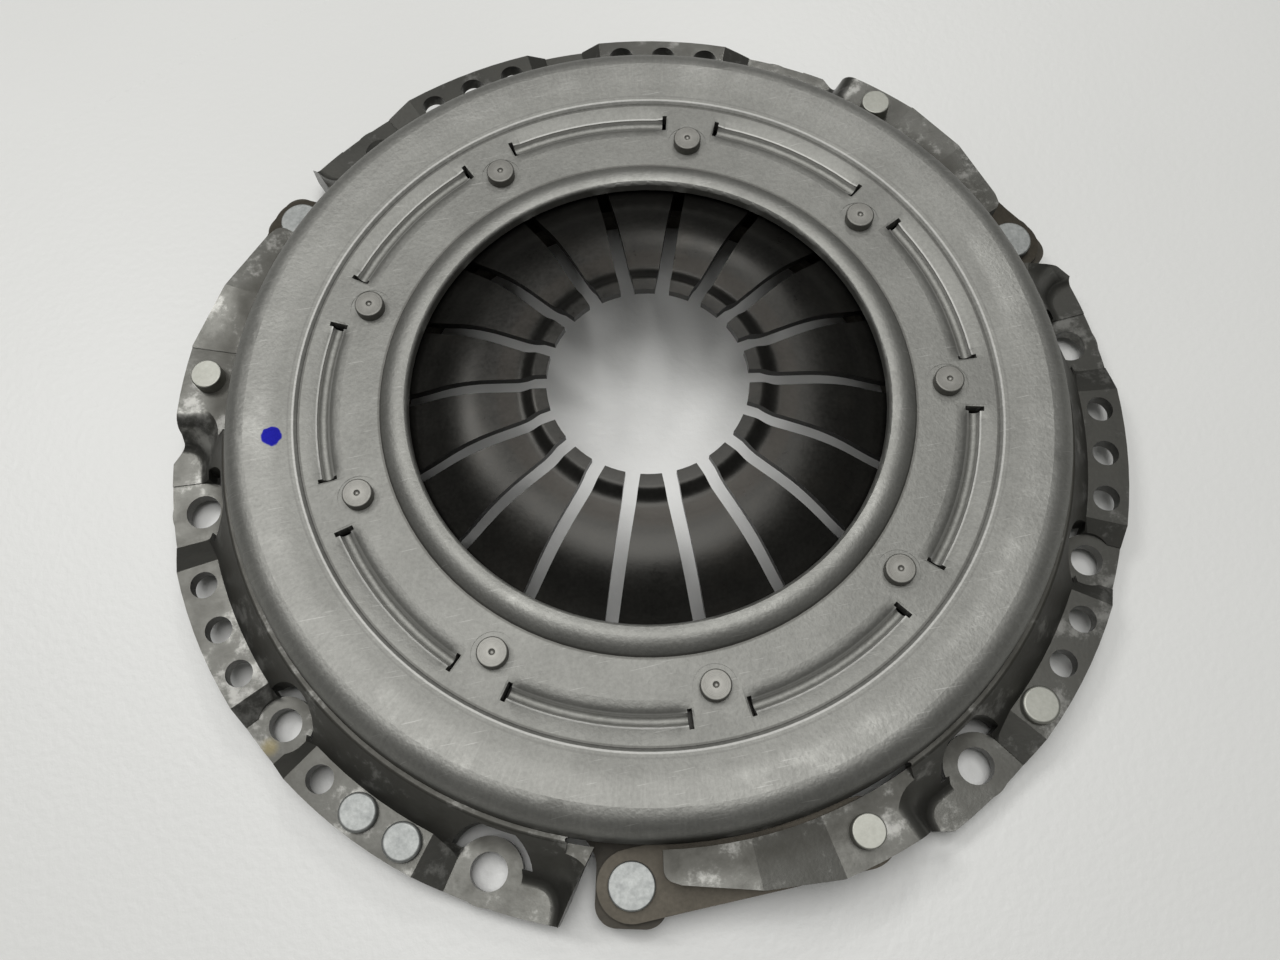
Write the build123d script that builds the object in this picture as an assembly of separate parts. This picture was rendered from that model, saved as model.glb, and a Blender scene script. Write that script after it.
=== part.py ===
"""Diaphragm-spring clutch cover assembly (clutch pressure plate), push type, 240 mm class.

Frame: millimetres, +Z away from the flywheel, origin at the centre of the plane on which
the flange pads bolt to the flywheel. Angles are degrees about +Z, counted from +X.
"""
from build123d import *
from math import atan2, cos, degrees, hypot, radians, sin, sqrt, tan
import os

os.makedirs("parts", exist_ok=True)

# ---------------------------------------------------------------- layout round the axis
sectors = 3                      # flange pattern, straps and lugs repeat three times
first_sector = 90.0              # angle of the first sector's dowel pad
shoulder_rivets = 9
first_rivet = 70.0
aperture_r = 69.5                # the cover's opening; the radii grow outwards from it
rivet_inset = 17.9               # from the aperture to the rivets' circle
rivet_circle_r = aperture_r + rivet_inset
fingers = 18
running_gap = 0.05               # radial gap of shanks in their holes
seat_gap = 0.02                  # gap between pieces that seat face to face

# ---------------------------------------------------------------- cover: pressed sheet
sheet = 4.5
lip_round = 1.2
bead_inset = 2.7
bead_r = aperture_r + bead_inset  # centre circle of the bead round the aperture
bead_radius = 6.6
bead_sink = 3.2                  # the bead's centre below the face
under_bend = 5.0                 # bend on the underside where the bead starts
under_bend_run = 0.6             # it starts this far outside the crease on top
wall_h = 9.5                     # from the ledge at the wall's foot to the rivets' face
strip_top = 8.1                  # top of the strips between the pads
ledge_h = 13.1                   # from the strips to the ledge
ledge_z = strip_top + ledge_h
face_z = ledge_z + wall_h        # top of the flat face that the rivets stand on
groove_inset = 7.2               # from the rivets' circle to the fulcrum grooves
groove_r = rivet_circle_r + groove_inset
scoop_w_out = 6.3                # from the groove to the outer scoop's edge
scoop_out = groove_r + scoop_w_out
step_inset = 0.7
step_r = scoop_out + step_inset
step_run = 1.0
step_rise = 0.7
crown_rise = 1.8                 # of the shoulder above the face
crown_z = face_z + crown_rise
shoulder_radius = 7.5
crown_slope = 0.12               # slope with which the crown leaves the step
crown_w = 22.5                   # from the step to the outside of the wall
wall_r = step_r + crown_w        # outside of the wall just under the shoulder
wall_flare = 0.8
wall_foot_r = wall_r + wall_flare
ledge_w = 2.3
ledge_r = wall_foot_r + ledge_w
ledge_round = 1.0
coin_r = 6.1                     # coined seat round each shoulder rivet
coin_depth = 0.15
lip_thin = 1.0                   # thinning of the sheet where the bead is drawn up

# fulcrum grooves, pressed down between the rivets
groove_depth = 2.5
groove_half_w = 1.6
groove_wall_in = 1.5             # depth at the groove's inner edge
groove_wall_out = 1.0            # depth at the groove's outer edge
scoop_w_in = 5.3                 # from the groove to the inner scoop's edge
scoop_in = groove_r - scoop_w_in
lance_margin = 4.6               # angle from a rivet to the sheared end of the groove
lance_w_in = 2.6                 # reach of the sheared slots on both sides of the groove
lance_w_out = 2.8
lance_in = groove_r - lance_w_in
lance_out = groove_r + lance_w_out
scoop_slopes = (1.1, 0.5)        # slopes of the scoops where they meet the groove
bead_root = 0.5                  # how far the fulcrum bead reaches into the sheet
lance_reach = 10.0               # depth of the lancing punch below the face
scoop_fade = 2.4                 # angle over which the scoops fade out
wall_overlap = 2.25              # how far a flange sector reaches into the wall's foot
keep_strap = 74.0                # ends of a sector, from its dowel pad
keep_lug = 48.0
fade_depth = 0.06                # what is left of a scoop's depth at its very end
scoop_past = 0.3                 # angle by which the scoops run past the slots
lance_w = 1.3                    # length of the sheared slots along the circle

# flange: pads bolt down, strips stand off the flywheel
skirt_w = 8.0
skirt_foot_r = ledge_r + skirt_w
bolt_inset = 3.3                 # from the skirt's foot to the bolt circle
bolt_circle_r = skirt_foot_r + bolt_inset
bolt_edge = 9.0                  # from the bolt circle to the flange's edge
flange_r = bolt_circle_r + bolt_edge
pad_top = sheet
bolt_hole_r = 5.2
dowel_hole_r = 4.75
bolt_pad_angle = 30.0            # from the dowel pad to the bolt pads on both sides
bolt_pad_half = 3.9              # half angle of a bolt pad's flat
dowel_pad_half = 2.6
dowel_ramp = 2.4
bolt_ramp = 3.5
bolt_pad_round = 9.4             # rounded inner end of a bolt pad
dowel_pad_round = 8.1
bolt_window_r = 12.3             # relief cut round the pad's inner end
dowel_window_r = 10.6
balance_offset = 2.3
balance_circle_r = bolt_circle_r + balance_offset
balance_hole_r = 4.0
balance_angles = (8.0, 14.0, 20.0)

window_top_gap = 1.5             # from the relief cuts up to the ledge
window_side = 2.0                # angle by which their outer trim runs past them
pad_coin = 0.35                  # the pads are coined below the ears and ramps

# shelves for the strap rivets: a flat under the rivet, then two panels that climb clear of
# the strap towards the lug
shelf_drop = 4.8                 # from the ledge down to the rivet's flat
shelf_top = ledge_z - shelf_drop
shelf_inset = 4.5
shelf_out_r = flange_r - shelf_inset
shelf_step = 0.3                 # the rivet's flat is coined below the next panel
shelf_bends = (50.4, 59.4)       # angles from the dowel pad
panel_rise = 2.9                 # from the rivet's flat to the second bend
panel_end_rise = 1.4             # from there to the free end
panel_top = shelf_top + panel_rise
panel_end_top = panel_top + panel_end_rise
lug_shelf_drop = 3.6
lug_shelf_top = ledge_z - lug_shelf_drop
strap_side_riser = 38.9          # angle from the dowel pad to the foot of the riser
lug_side_riser = 38.6
riser_lean = 15.0
riser_bend = 5.0
corner_round = 8.0
corner_round_under = 11.0
foot_round = 3.0
foot_round_under = 5.0
slit_play = 0.1                  # the slit starts just clear of the wall
slit_w = 1.3
slit_in_r = wall_foot_r + slit_play
slit_out_r = slit_in_r + slit_w
slit_end_strap = 37.9            # angle from the dowel pad to the slit's end
slit_end_lug = 38.3
notch_strap_side = 70.0
notch_lug_side = 42.0
shelf_edge = ((8.7, 70.0), (10.3, 68.0), (14.6, 59.2), (18.2, 50.5))   # from the wall, angle
notch_round = 3.5
edge_lead = 4.0                  # angles by which the shears run on outside the flange
ear_lead = 2.0
lug_lead = 1.2
lug_shear_end = 52.0
slit_depth = 5.0                 # of the slit's punch below the shelf
slit_lead = 0.3
ear_chamfer_start = 36.8
ear_chamfer_end = 39.6

# ---------------------------------------------------------------- diaphragm spring
spring_t = 2.65
spring_play = 5.6                # between the spring's rim and the wall
spring_r = wall_r - sheet - spring_play
cone_slope = 0.125
tip_r = 28.9
tip_rise = 8.5                   # of the tips above the cover's face
tip_z = face_z + tip_rise
tip_flat = 4.1
tip_flat_end = tip_r + tip_flat
tip_slope = (3.4, 2.3)           # run and fall of the tip's step
tip_foot = (tip_flat_end + tip_slope[0], tip_z - tip_slope[1])
hump_place = (16.0, 2.0)         # inside the aperture, below the tips
hump = (aperture_r - hump_place[0], tip_z - hump_place[1])
knee_place = (0.5, 2.0)          # inside the aperture, below the cover's face
knee = (aperture_r - knee_place[0], face_z - knee_place[1])
cone_inset = 8.5                 # from the aperture to the straight cone
cone_start_r = aperture_r + cone_inset
tip_bend = 3.2
foot_bend = 5.0
hump_bend = 32.0
knee_bend = 60.0
cone_bend = 35.0
slot_lead = 10.0                 # the slots' taper starts this far inside the tips
slot_tip_w = 4.3
slot_root_w = 3.4
window_w = 10.8
window_l = 12.0
window_flat = 0.3

# ---------------------------------------------------------------- fulcrum wire ring
wire_r = 1.7
wire_gap_angle = 1.2

# ---------------------------------------------------------------- pressure plate
plate_play = 3.9                 # plate's edge inside the wall's outer foot
plate_r = wall_foot_r - plate_play
plate_bore_inset = 8.0           # from the cover's aperture to the plate's bore
plate_bore_r = aperture_r + plate_bore_inset
friction_z = -4.0
plate_back_z = 6.0
plate_chamfer = 1.2
ridge_inset = 2.5                # ridge inside the spring's rim
ridge_r = spring_r - ridge_inset
ridge_top_w = 3.6
ridge_foot_w = 9.0
ridges = 9
ridge_gap_angle = 9.0
ridge_play = 0.1                 # under the spring's rim
ridge_sink = 1.0
ridge_flat = 0.1
lug_half_w = 9.8
lug_corner = 6.0
lug_root = 9.0
lug_sink = 4.0                   # how far a lug reaches into the ring
lug_flare = 0.75                 # start of the lug's root, as a share of its radius
lug_under = 1.0                  # lug underside above the friction face
counterbore_r = 7.6
counterbore_depth = 3.0

# ---------------------------------------------------------------- straps
leaves = 3
leaf_t = 0.8
strap_half_w = 9.5
strap_flat = 9.5
strap_over = 20.0                # blank beyond the rivets, before its ends are rounded
strap_angle = 46.3               # cover rivet, from the dowel pad towards the lug
strap_pin_inset = 9.7            # rivets' circles outside the wall's foot
strap_pin_r = wall_foot_r + strap_pin_inset
lug_angle = 73.6
lug_pin_inset = 10.3
lug_pin_r = wall_foot_r + lug_pin_inset
lug_edge = 10.8
lug_out_r = lug_pin_r + lug_edge
lug_strap_top = 8.2              # top of the strap pack on the lug

# ---------------------------------------------------------------- rivets
shoulder_head_r = 4.25
shoulder_head_h = 3.1
shoulder_shank_r = 3.2
shoulder_body_r = 4.2
shoulder_foot_r = 8.0
shoulder_foot_h = 2.8
head_edge = 0.45
dimple_r = 1.0
dimple_lift = 0.4
strap_head_r = 4.65
strap_head_h = 4.2
strap_shank_r = 3.6
strap_foot_r = 6.0
strap_foot_h = 2.6
lug_head_r = 6.4
lug_head_h = 2.6
lug_shank_r = 4.2
lug_tail_play = 0.3              # tail smaller than the head
lug_tail_clear = 0.6             # tail above the lug's underside
balance_head_r = 5.45
balance_head_h = 2.3
balance_tail_r = 5.0
balance_tail_h = 1.8
balanced = ((1, 14.0), (1, 20.0), (2, -20.0))   # sector and angle of each weighted hole

# ---------------------------------------------------------------- worked-out values
sector_angles = [first_sector + 360 / sectors * n for n in range(sectors)]
rivet_angles = [first_rivet + 360 / shoulder_rivets * n for n in range(shoulder_rivets)]
face_under = face_z - sheet
slit_round = degrees((slit_out_r - slit_in_r) / 2 / slit_in_r)
crown_r = wall_r - shoulder_radius
wall_foot_z = ledge_z - sheet
shoulder_z = crown_z - shoulder_radius
shelf_under = shelf_top - sheet
wire_circle_r = rivet_circle_r + shoulder_body_r + wire_r + running_gap
spring_top_at_groove = face_z - groove_depth - sheet - seat_gap
deep = -20.0                     # below everything, for cutters and form blocks
high = 60.0                      # above everything
skirt_block_end = 44.0           # angles where the form blocks end, inside each other
shelf_block_start = 46.0
sector_end = 78.0
reach = flange_r + 6.0           # beyond the flange's edge
far_r = reach + 8.0
form_in_r = wall_foot_r - 14.9   # inner edges of the form blocks, inside the wall
skirt_in_r = wall_foot_r - 24.9
block_l = 60.0                   # length of a riser's block, its width and its start
block_w = 40.0
block_in_r = wall_foot_r - 7.0
past = 1.0                       # by which cutters run past what they cut


def at(r, angle):
    """Point at radius r and angle, in plan."""
    return (r * cos(radians(angle)), r * sin(radians(angle)))


def cone_z(r):
    """Height of the spring's conical upper face."""
    return spring_top_at_groove + (groove_r - r) * cone_slope


def radial_plane(angle):
    """Plane through the axis at an angle: x is the radius, y is up."""
    x, y = at(1, angle)
    return Plane(origin=(0, 0, 0), x_dir=(x, y, 0), z_dir=(y, -x, 0))


def turned(section, start=0.0, sweep=360.0):
    """Body turned about the axis from a face drawn in radius and height."""
    return Rot(0, 0, start) * revolve(Plane.XZ * section, Axis.Z, sweep)


def ring_block(r_in, r_out, start, end, z_low, z_high):
    """Sector of a ring with a rectangular section."""
    middle = Pos((r_in + r_out) / 2, (z_low + z_high) / 2)
    return turned(middle * Rectangle(r_out - r_in, z_high - z_low), start, end - start)


def ramp_block(r_in, r_out, start, end, top_start, top_end):
    """Block whose top climbs or falls between two radial planes."""
    faces = []
    for angle, top in ((start, top_start), (end, top_end)):
        middle = Pos((r_in + r_out) / 2, (deep + top) / 2)
        faces.append(radial_plane(angle) * middle * Rectangle(r_out - r_in, top - deep))
    return loft(faces, ruled=True)


def post(r, angle, radius, z_low, z_high):
    """Upright cylinder standing at a point in plan."""
    x, y = at(r, angle)
    return Pos(x, y, (z_low + z_high) / 2) * Cylinder(radius, z_high - z_low)


def edges_where(shape, test):
    """Edges whose middle passes a test of radius, angle and height."""
    kept = []
    for edge in shape.edges():
        c = edge @ 0.5
        if test(hypot(c.X, c.Y), degrees(atan2(c.Y, c.X)), c.Z, edge):
            kept.append(edge)
    return kept


# ================================================================= cover
def bowl():
    """The turned middle of the cover: aperture bead, rivet face, shoulder and wall."""
    bead_z = face_z - bead_sink
    lip_z = bead_z + sqrt(bead_radius ** 2 - (bead_r - aperture_r) ** 2)
    crease_r = bead_r + sqrt(bead_radius ** 2 - bead_sink ** 2)
    bend_r = crease_r + under_bend_run
    bend_mid = (bend_r - under_bend * sin(radians(30)),
                face_under + under_bend * (1 - cos(radians(30))))
    bend_end = (bend_r - under_bend * sin(radians(60)),
                face_under + under_bend * (1 - cos(radians(60))))
    in_wall = wall_r - sheet
    in_round = shoulder_radius - sheet
    under_crown = crown_z - sheet
    diag = sqrt(0.5)
    top = [
        ThreePointArc((aperture_r, lip_z), (bead_r, bead_z + bead_radius), (crease_r, face_z)),
        Line((crease_r, face_z), (step_r, face_z)),
        Line((step_r, face_z), (step_r + step_run, face_z + step_rise)),
        Spline((step_r + step_run, face_z + step_rise), (crown_r, crown_z),
               tangents=[(1, crown_slope), (1, 0)]),
        ThreePointArc((crown_r, crown_z),
                      (crown_r + shoulder_radius * diag, shoulder_z + shoulder_radius * diag),
                      (wall_r, shoulder_z)),
        Line((wall_r, shoulder_z), (wall_foot_r, ledge_z)),
        Line((wall_foot_r, ledge_z), (wall_foot_r, wall_foot_z)),
    ]
    under = [
        Line((wall_foot_r, wall_foot_z), (wall_foot_r - sheet, wall_foot_z)),
        Line((wall_foot_r - sheet, wall_foot_z), (wall_foot_r - sheet, ledge_z)),
        Line((wall_foot_r - sheet, ledge_z), (in_wall, shoulder_z)),
        ThreePointArc((in_wall, shoulder_z),
                      (crown_r + in_round * diag, shoulder_z + in_round * diag),
                      (crown_r, under_crown)),
        Spline((crown_r, under_crown), (step_r + step_run, face_under + step_rise),
               tangents=[(-1, 0), (-1, -crown_slope)]),
        Line((step_r + step_run, face_under + step_rise), (step_r, face_under)),
        Line((step_r, face_under), (bend_r, face_under)),
        ThreePointArc((bend_r, face_under), bend_mid, bend_end),
        ThreePointArc(bend_end, (bead_r, bead_z + bead_radius - sheet + lip_thin),
                      (aperture_r, lip_z - sheet + lip_thin)),
        Line((aperture_r, lip_z - sheet + lip_thin), (aperture_r, lip_z)),
    ]
    section = make_face(Wire(top + under))
    lip = [v for v in section.vertices() if abs(v.X - aperture_r) < 0.01 and v.Y > lip_z - past]
    return turned(fillet(lip, lip_round))


def skirt_block(start, end, depth):
    """Solid under the flared skirt, its surface set back by depth."""
    run = skirt_foot_r - ledge_r
    fall = ledge_z - ledge_round - strip_top
    length = hypot(run, fall)
    top = ledge_z - depth
    r_ref = ledge_r - depth * fall / length
    z_ref = ledge_z - ledge_round - depth * run / length
    r_top = r_ref - (top - z_ref) * run / fall
    r_deep = r_ref + (z_ref - deep) * run / fall
    outline = Polyline((skirt_in_r, deep), (skirt_in_r, top), (r_top, top), (r_deep, deep),
                       close=True)
    return turned(make_face(outline), start, end - start)


def riser_block(angle, side, shelf, depth):
    """Block under a shelf: its leaning end wall stands on the given angle."""
    lean = tan(radians(riser_lean))
    shift = depth / cos(radians(riser_lean))
    top = shelf - depth
    corner = ((top - pad_top) * lean + shift, top)
    outline = Polyline(((deep - pad_top) * lean + shift, deep), corner,
                       (block_l, top), (block_l, deep), close=True)
    section = make_face(outline)
    if depth == 0:
        brow = [v for v in section.vertices() if hypot(v.X - corner[0], v.Y - corner[1]) < 0.01]
        section = fillet(brow, riser_bend)
    x, y = at(1, angle)
    along = (-y * side, x * side, 0)
    start = (x * block_in_r, y * block_in_r, 0)
    plane = Plane(origin=start, x_dir=along, z_dir=(along[1], -along[0], 0))
    outward = plane.z_dir.X * x + plane.z_dir.Y * y
    return extrude(plane * section, block_w if outward > 0 else -block_w)


def sector_form(depth):
    """Solid that fills one sector of the flange up to its skin, set back by depth."""
    r_in = form_in_r
    form = ring_block(skirt_in_r, reach, -shelf_block_start, shelf_block_start, deep, pad_top - depth)
    form += skirt_block(-skirt_block_end, skirt_block_end, depth)
    strip_start = dowel_pad_half + dowel_ramp
    strip_end = bolt_pad_angle - bolt_pad_half - bolt_ramp
    high_z = strip_top - depth
    low_z = pad_top - depth
    for side in (-1, 1):
        a, b = sorted((side * strip_start, side * strip_end))
        form += ring_block(r_in, reach, a, b, deep, high_z)
        for top_a, foot_a in ((strip_start, dowel_pad_half),
                              (strip_end, bolt_pad_angle - bolt_pad_half)):
            tops = {side * top_a: high_z, side * foot_a: low_z}
            a, b = sorted(tops)
            form += ramp_block(r_in, reach, a, b, tops[a], tops[b])
    form += riser_block(-strap_side_riser, -1, shelf_top, depth)
    form += riser_block(lug_side_riser, 1, lug_shelf_top, depth)
    first, second = shelf_bends
    tops = [shelf_top + shelf_step - depth, panel_top - depth, panel_end_top - depth]
    form += ring_block(r_in, reach, -first, -shelf_block_start, deep, shelf_top - depth)
    form += ramp_block(r_in, reach, -second, -first, tops[1], tops[0])
    form += ramp_block(r_in, reach, -sector_end, -second, tops[2], tops[1])
    form += ring_block(r_in, reach, shelf_block_start, sector_end, deep, lug_shelf_top - depth)
    first_a, last_a = lug_side_riser - 1.6, strap_side_riser + 6.1
    corners = edges_where(form, lambda r, a, z, e: first_a < abs(a) < last_a
                          and wall_foot_r - sheet < r < skirt_foot_r + sheet
                          and low_z + bead_root < z < lug_shelf_top - depth + 0.01
                          and e.geom_type in (GeomType.HYPERBOLA, GeomType.BSPLINE))
    form = fillet(corners, corner_round if depth == 0 else corner_round_under)
    feet = edges_where(form, lambda r, a, z, e: abs(z - low_z) < 0.05
                       and bolt_pad_angle < abs(a) < notch_lug_side
                       and slit_out_r < r < reach - bead_root)
    form = fillet(feet, foot_round if depth == 0 else foot_round_under)
    if depth > 0:
        return form
    brow = edges_where(form, lambda r, a, z, e: abs(z - ledge_z) < 0.01
                       and abs(r - ledge_r) < 1.5 * ledge_round
                       and abs(a) < strap_side_riser + 1)
    return fillet(brow, ledge_round)


def prism(*outline):
    """Tall upright prism on a plan outline."""
    return Pos(0, 0, deep) * extrude(make_face(Wire(list(outline))), high - deep)


def polygon_prism(*points):
    """Tall upright prism on a plan polygon."""
    return Pos(0, 0, deep) * extrude(make_face(Polyline(*points, close=True)), high - deep)


def notch_cutter():
    """What is sheared off outside the shelf and round the plate's lug, strap side."""
    edge = [at(wall_foot_r + w, -angle) for w, angle in shelf_edge]
    out_angle = shelf_edge[-1][1]
    points = (at(slit_in_r, -notch_strap_side), *edge, at(far_r, -out_angle + edge_lead),
              at(far_r, -sector_end), at(slit_in_r, -sector_end))
    block = polygon_prism(*points)
    corner = edges_where(block, lambda r, a, z, e: e.geom_type == GeomType.LINE
                         and hypot((e @ 0.5).X - edge[0][0], (e @ 0.5).Y - edge[0][1]) < 0.1)
    return fillet(corner, notch_round)


def lug_side_cutter():
    """The slanting shear beyond the bolt pad's ear, on the lug side."""
    return polygon_prism(at(slit_in_r, notch_lug_side), at(far_r, lug_side_riser - lug_lead),
                         at(far_r, lug_shear_end), at(slit_in_r, lug_shear_end))


def ear_cutter():
    """What is sheared off outside the shelf, with the chamfered corner of the ear."""
    corner = polygon_prism(at(flange_r, -ear_chamfer_start), at(shelf_out_r, -ear_chamfer_end),
                           at(far_r, -ear_chamfer_end - ear_lead), at(far_r, -ear_chamfer_start))
    return corner + ring_block(shelf_out_r, reach, -sector_end, -ear_chamfer_end, deep, high)


def slit_cutter(start, end):
    """Narrow slit between wall and shelf, with round ends."""
    middle = (slit_in_r + slit_out_r) / 2
    path = CenterArc((0, 0), middle, min(start, end), abs(end - start))
    low = shelf_under - slit_depth
    slot = SlotArc(path, slit_out_r - slit_in_r)
    return Pos(0, 0, low) * extrude(slot, ledge_z + past - low)


def pad_windows():
    """Relief cuts through skirt and flange round the pads' inner ends."""
    cut = None
    for angle, window, pad in ((-bolt_pad_angle, bolt_window_r, bolt_pad_round),
                               (0.0, dowel_window_r, dowel_pad_round),
                               (bolt_pad_angle, bolt_window_r, bolt_pad_round)):
        ring = post(bolt_circle_r, angle, window, deep, ledge_z - window_top_gap)
        ring -= post(bolt_circle_r, angle, pad, deep, high)
        half = degrees(window / bolt_circle_r) + window_side
        ring -= ring_block(skirt_foot_r, far_r, angle - half, angle + half, deep, high)
        cut = ring if cut is None else cut + ring
    return cut


def pad_tongues():
    """The pads' rounded inner ends, standing free inside the relief cuts."""
    tongues = None
    for angle, pad in ((-bolt_pad_angle, bolt_pad_round), (0.0, dowel_pad_round),
                       (bolt_pad_angle, bolt_pad_round)):
        disc = post(bolt_circle_r, angle, pad, 0, pad_top)
        tongues = disc if tongues is None else tongues + disc
    return tongues


def flange_sector():
    """One third of the flange, drawn about its dowel pad at angle 0."""
    sheet_body = sector_form(0) - sector_form(sheet)
    keep = ring_block(wall_foot_r - wall_overlap, flange_r, -keep_strap, keep_lug, 0, ledge_z)
    body = sheet_body & keep
    stub_end = skirt_block_end + past
    body -= ring_block(slit_in_r, reach, -stub_end, -slit_end_strap - slit_lead, shelf_top, high)
    body -= ring_block(slit_in_r, reach, slit_end_lug + slit_lead, stub_end, lug_shelf_top, high)
    body -= notch_cutter()
    body -= lug_side_cutter()
    body -= ear_cutter()
    body -= pad_windows()
    body += pad_tongues()
    body -= pad_coining()
    for side in (-1, 1):
        body -= post(bolt_circle_r, side * bolt_pad_angle, bolt_hole_r, deep, high)
        for angle in balance_angles:
            body -= post(balance_circle_r, side * angle, balance_hole_r, deep, high)
    body -= post(bolt_circle_r, 0, dowel_hole_r, deep, high)
    body -= post(strap_pin_r, -strap_angle, strap_shank_r + running_gap, deep, high)
    free_strap, free_lug = -slit_end_strap - slit_round, slit_end_lug + slit_round
    body -= slit_cutter(free_strap, -notch_strap_side - past)
    body -= slit_cutter(free_lug, notch_lug_side + past)
    body -= ring_block(skirt_in_r, slit_out_r, -sector_end, free_strap, deep, high)
    return body - ring_block(skirt_in_r, slit_out_r, free_lug, sector_end, deep, high)


def pad_coining():
    """What the coining die clears above the pads' flats."""
    clear = None
    for angle, pad, half in ((-bolt_pad_angle, bolt_pad_round, bolt_pad_half),
                             (0.0, dowel_pad_round, dowel_pad_half),
                             (bolt_pad_angle, bolt_pad_round, bolt_pad_half)):
        low = pad_top - pad_coin
        die = post(bolt_circle_r, angle, pad, low, ledge_z - window_top_gap)
        die += ring_block(bolt_circle_r, reach, angle - half, angle + half, low, strip_top)
        clear = die if clear is None else clear + die
    return clear


def groove_section(drop, close_z):
    """Section of the fulcrum groove proper, closed at a height."""
    top = face_z - drop
    inner = (groove_r - groove_half_w, top - groove_wall_in)
    outer = (groove_r + groove_half_w, top - groove_wall_out)
    lines = [
        Line((inner[0], close_z), inner),
        ThreePointArc(inner, (groove_r, top - groove_depth), outer),
        Line(outer, (outer[0], close_z)),
        Line((outer[0], close_z), (inner[0], close_z)),
    ]
    return make_face(Wire(lines))


def scoop_section(drop, close_z, share=1.0):
    """Section of the soft scoops on both sides of the groove, at a share of their depth."""
    top = face_z - drop
    inner = (groove_r - groove_half_w, top - groove_wall_in * share)
    outer = (groove_r + groove_half_w, top - groove_wall_out * share)
    lines = [
        Spline((scoop_in, top), inner, tangents=[(1, 0), (1, -scoop_slopes[0] * share)]),
        Line(inner, outer),
        Spline(outer, (scoop_out, top), tangents=[(1, scoop_slopes[1] * share), (1, 0)]),
        Line((scoop_out, top), (scoop_out, close_z)),
        Line((scoop_out, close_z), (scoop_in, close_z)),
        Line((scoop_in, close_z), (scoop_in, top)),
    ]
    return make_face(Wire(lines))


def scoop(start, end, drop, close_z):
    """Scoops along a groove, fading out at both ends."""
    full_start, full_end = start + scoop_fade, end - scoop_fade
    body = turned(scoop_section(drop, close_z), full_start, full_end - full_start)
    for tip, full in ((start, full_start), (end, full_end)):
        faces = [radial_plane(tip) * scoop_section(drop, close_z, fade_depth),
                 radial_plane(full) * scoop_section(drop, close_z)]
        body += loft(faces, ruled=True)
    return body


def groove_cut(start, end):
    """Metal pushed down out of the face: soft scoops and the groove between them."""
    return turned(groove_section(0, face_z + past), start, end - start)


def groove_bead(start, end):
    """The fulcrum bead that the pressed groove forms on the underside."""
    return turned(groove_section(sheet, face_under + bead_root), start, end - start)


def lance_windows(start, end):
    """Slots sheared through the face at both ends of a groove."""
    width = degrees(lance_w / groove_r)
    low = face_z - lance_reach
    first = ring_block(lance_in, lance_out, start, start + width, low, high)
    return first + ring_block(lance_in, lance_out, end - width, end, low, high)


def cover():
    """The cover: turned bowl, three flange sectors, grooves, rivet seats and holes."""
    third = flange_sector()
    body = bowl()
    for angle in sector_angles:
        body += Rot(0, 0, angle) * third
    start, end = lance_margin, 360 / shoulder_rivets - lance_margin
    beads, cuts = [], []
    for angle in rivet_angles:
        turn = Rot(0, 0, angle)
        beads.append(turn * groove_bead(start, end))
        cuts.append(turn * scoop(start - scoop_past, end + scoop_past, 0, face_z + past))
        cuts.append(turn * groove_cut(start, end))
        cuts.append(turn * lance_windows(start, end))
        cuts.append(post(rivet_circle_r, angle, coin_r, face_z - coin_depth, high))
        cuts.append(post(rivet_circle_r, angle, shoulder_shank_r + running_gap, deep, high))
    body += beads
    for cut in cuts[0::5], cuts[1::5], cuts[2::5], cuts[3::5] + cuts[4::5]:
        body -= cut
    return body


# ================================================================= diaphragm spring
def parallel(points, distance):
    """Open polyline moved sideways by a distance, mitred at its corners."""
    moved = []
    for i, (x, y) in enumerate(points):
        ends = [points[max(i - 1, 0)], points[i], points[min(i + 1, len(points) - 1)]]
        normals = []
        for (x0, y0), (x1, y1) in zip(ends, ends[1:]):
            length = hypot(x1 - x0, y1 - y0)
            if length > 0:
                normals.append(((y1 - y0) / length, -(x1 - x0) / length))
        nx = sum(n[0] for n in normals) / len(normals)
        ny = sum(n[1] for n in normals) / len(normals)
        scale = distance / (nx * nx + ny * ny)
        moved.append((x + nx * scale, y + ny * scale))
    return moved


def diaphragm_spring():
    """Slotted disc spring: a coned rim and fingers that rise to bent tips."""
    top = [(tip_r, tip_z), (tip_flat_end, tip_z), tip_foot, hump, knee,
           (cone_start_r, cone_z(cone_start_r)), (spring_r, cone_z(spring_r))]
    under = parallel(top, spring_t)
    bends = [tip_bend, foot_bend, hump_bend, knee_bend, cone_bend]
    under_bends = [tip_bend - spring_t, foot_bend + spring_t, hump_bend - spring_t,
                   knee_bend + spring_t, cone_bend + spring_t]
    upper_wire = FilletPolyline(*top, radius=bends)
    lower_wire = FilletPolyline(*under, radius=under_bends)
    section = make_face(Wire([*upper_wire.edges(), *lower_wire.edges(),
                              Line(top[0], under[0]), Line(top[-1], under[-1])]))
    disc = turned(section)
    slot = Plane.XY.offset(deep) * make_face(Polyline(
        (tip_r - slot_lead, slot_tip_w / 2), (rivet_circle_r, slot_root_w / 2),
        (rivet_circle_r, -slot_root_w / 2), (tip_r - slot_lead, -slot_tip_w / 2), close=True))
    slot = extrude(slot, high - deep)
    eye = Pos(rivet_circle_r, 0, deep) * extrude(
        RectangleRounded(window_l, window_w, window_w / 2 - window_flat), high - deep)
    cutter = slot + eye
    step = 360 / fingers
    return disc - [Rot(0, 0, first_rivet + n * step) * cutter for n in range(fingers)]


# ================================================================= fulcrum ring
def wire_centre_z():
    """Height of the wire's centre, seated under the spring."""
    tilt = sqrt(1 + cone_slope ** 2)
    return cone_z(wire_circle_r) - (spring_t + wire_r) * tilt - seat_gap


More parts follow.
